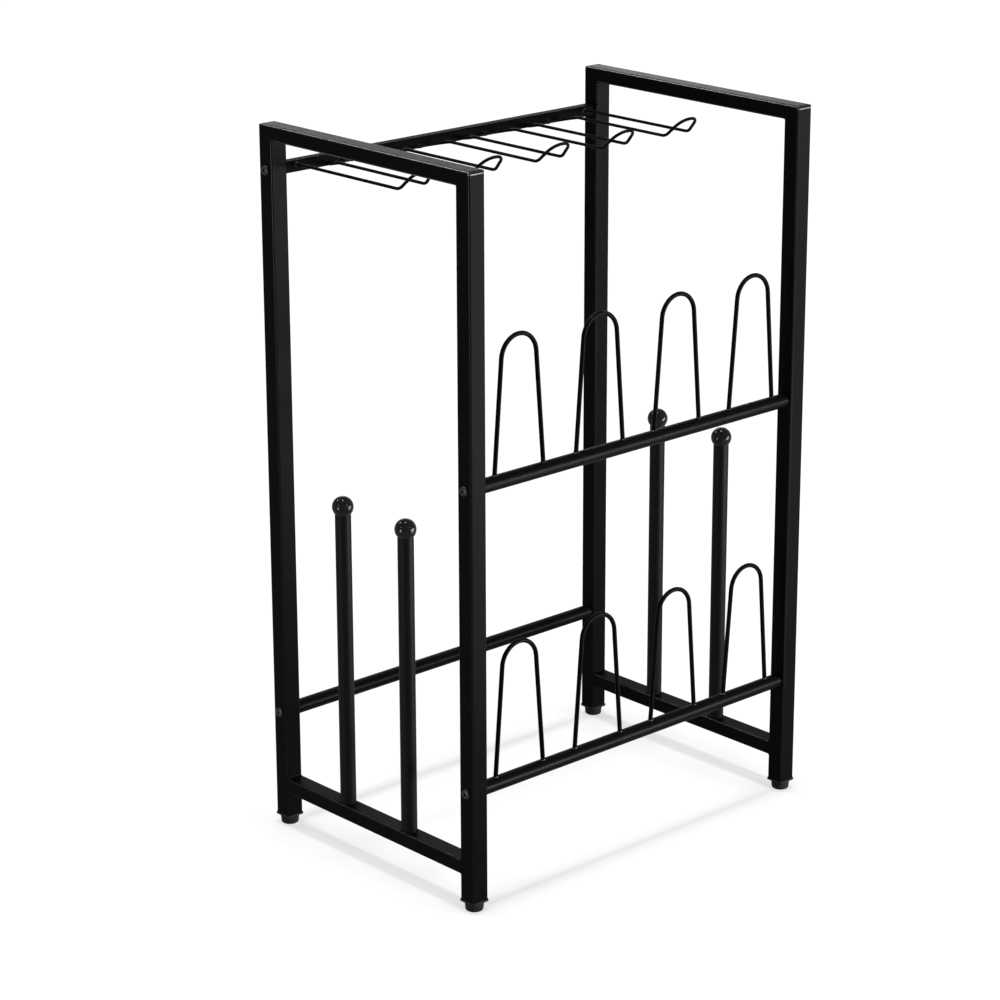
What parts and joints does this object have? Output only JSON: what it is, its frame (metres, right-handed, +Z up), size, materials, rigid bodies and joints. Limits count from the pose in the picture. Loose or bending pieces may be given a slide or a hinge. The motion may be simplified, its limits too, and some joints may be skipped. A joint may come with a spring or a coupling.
{
  "type": "boot rack",
  "caption": "Free-standing boot rack in black steel tube: wire prongs hang boots by the sole, wire loops hold shoes, and ball-topped uprights stand on the side frames.",
  "frame": {"origin": "on the floor under the middle of the rack, at the middle of the bounding box's underside", "axes": "+Z up, the front with the shoe loops faces -Y, the width between the side frames runs along X"},
  "size_m": [0.6004, 0.3984, 0.955],
  "materials": {
    "frame_steel": "black powder coat, satin, very fine texture",
    "bar_steel": "black powder coat, satin",
    "wire_steel": "black powder coat, satin",
    "bolt_steel": "black oxide button-head bolts",
    "plain_steel": "zinc plated, hidden in use",
    "foot_plastic": "black moulded plastic, matte",
    "ball_cap_plastic": "black moulded plastic, glossy"
  },
  "bodies": {
    "rack": {"left_top_rail": "frame_steel", "left_bottom_rail": "frame_steel", "left_front_post": "frame_steel", "left_front_upright": "frame_steel", "left_front_ball_cap": "ball_cap_plastic", "left_front_foot_insert": "foot_plastic", "left_back_post": "frame_steel", "left_back_upright": "frame_steel", "left_back_ball_cap": "ball_cap_plastic", "left_back_foot_insert": "foot_plastic", "right_top_rail": "frame_steel", "right_bottom_rail": "frame_steel", "right_front_post": "frame_steel", "right_front_upright": "frame_steel", "right_front_ball_cap": "ball_cap_plastic", "right_front_foot_insert": "foot_plastic", "right_back_post": "frame_steel", "right_back_upright": "frame_steel", "right_back_ball_cap": "ball_cap_plastic", "right_back_foot_insert": "foot_plastic", "bottom_shoe_bar": "bar_steel", "bottom_shoe_bar_end_nuts": "plain_steel", "bottom_shoe_bar_bolts": "bolt_steel", "middle_shoe_bar": "bar_steel", "middle_shoe_bar_end_nuts": "plain_steel", "middle_shoe_bar_bolts": "bolt_steel", "back_bar": "bar_steel", "back_bar_end_nuts": "plain_steel", "back_bar_bolts": "bolt_steel", "hook_bar": "bar_steel", "hook_bar_end_nuts": "plain_steel", "hook_bar_bolts": "bolt_steel", "hook_wire": "wire_steel", "bottom_shoe_loop_1": "wire_steel", "middle_shoe_loop_1": "wire_steel", "bottom_shoe_loop_2": "wire_steel", "middle_shoe_loop_2": "wire_steel", "bottom_shoe_loop_3": "wire_steel", "middle_shoe_loop_3": "wire_steel", "bottom_shoe_loop_4": "wire_steel", "middle_shoe_loop_4": "wire_steel"},
    "left_front_foot": {"left_front_foot_pad": "foot_plastic", "left_front_foot_stud": "plain_steel"},
    "left_back_foot": {"left_back_foot_pad": "foot_plastic", "left_back_foot_stud": "plain_steel"},
    "right_front_foot": {"right_front_foot_pad": "foot_plastic", "right_front_foot_stud": "plain_steel"},
    "right_back_foot": {"right_back_foot_pad": "foot_plastic", "right_back_foot_stud": "plain_steel"}
  },
  "joints": [
    {"name": "left_front_foot_screw", "type": "slide", "parent": "rack", "child": "left_front_foot", "axis": [0, 0, -1], "range_m": [0, 0.008]},
    {"name": "left_back_foot_screw", "type": "slide", "parent": "rack", "child": "left_back_foot", "axis": [0, 0, -1], "range_m": [0, 0.008]},
    {"name": "right_front_foot_screw", "type": "slide", "parent": "rack", "child": "right_front_foot", "axis": [0, 0, -1], "range_m": [0, 0.008]},
    {"name": "right_back_foot_screw", "type": "slide", "parent": "rack", "child": "right_back_foot", "axis": [0, 0, -1], "range_m": [0, 0.008]}
  ]
}
